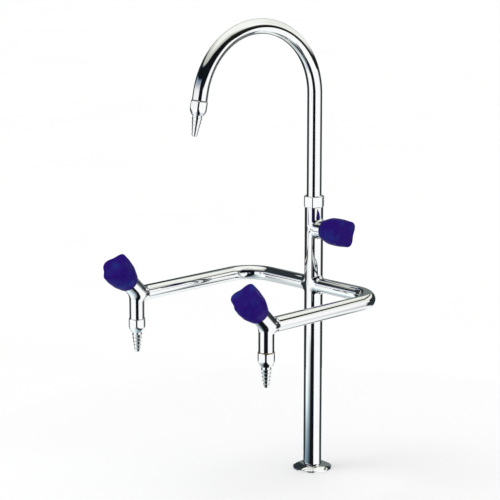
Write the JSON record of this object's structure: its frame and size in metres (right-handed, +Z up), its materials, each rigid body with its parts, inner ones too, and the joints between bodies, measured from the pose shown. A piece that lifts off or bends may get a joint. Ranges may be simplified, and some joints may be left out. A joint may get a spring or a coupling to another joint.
{
  "type": "laboratory bench tap",
  "caption": "Deck-mounted chromed laboratory tap with a swivelling swan neck, side arms, lobed quarter-turn knobs and serrated hose nozzles.",
  "frame": {"origin": "on the column's axis at the underside of the deck flange, where the supply thread opens", "axes": "+Z up along the column, the arms and the spout reach towards -Y, the middle knob faces +X"},
  "size_m": [0.287, 0.2916, 0.6263],
  "materials": {
    "chrome": "polished",
    "knob_plastic": "gloss",
    "brass": "turned",
    "seal_rubber": "matte",
    "ceramic": "lapped"
  },
  "bodies": {
    "stand": {"base_flange": "chrome", "deck_seal": "seal_rubber", "column_foot": "brass", "column_tube": "chrome", "arm_cross": "chrome", "left_arm_tube": "chrome", "right_arm_tube": "chrome", "left_valve_body": "chrome", "right_valve_body": "chrome", "middle_valve_body": "chrome", "left_fixed_disc": "ceramic", "right_fixed_disc": "ceramic", "middle_fixed_disc": "ceramic", "left_headwork_housing": "brass", "right_headwork_housing": "brass", "middle_headwork_housing": "brass", "union_nut": "chrome", "left_nozzle": "chrome", "right_nozzle": "chrome"},
    "spout": {"spout_ferrule": "brass", "swivel_ring": "seal_rubber", "spout_tube": "chrome", "spout_nozzle": "chrome"},
    "left_knob_and_spindle": {"left_knob": "knob_plastic", "left_spindle": "brass", "left_moving_disc": "ceramic"},
    "right_knob_and_spindle": {"right_knob": "knob_plastic", "right_spindle": "brass", "right_moving_disc": "ceramic"},
    "middle_knob_and_spindle": {"middle_knob": "knob_plastic", "middle_spindle": "brass", "middle_moving_disc": "ceramic"}
  },
  "joints": [
    {"name": "spout_swivel", "type": "hinge", "parent": "stand", "child": "spout", "pos_m": [0, 0, 0.3766], "axis": [0, 0, 1], "continuous": true},
    {"name": "left_valve_turn", "type": "hinge", "parent": "stand", "child": "left_knob_and_spindle", "pos_m": [-0.122, -0.22331, 0.27731], "axis": [0, -0.7071, 0.7071], "range_deg": [0, 90]},
    {"name": "right_valve_turn", "type": "hinge", "parent": "stand", "child": "right_knob_and_spindle", "pos_m": [0.122, -0.22331, 0.27731], "axis": [0, -0.7071, 0.7071], "range_deg": [0, 90]},
    {"name": "middle_valve_turn", "type": "hinge", "parent": "stand", "child": "middle_knob_and_spindle", "pos_m": [0.0195, 0, 0.3385], "axis": [1, 0, 0], "range_deg": [0, 90]}
  ]
}
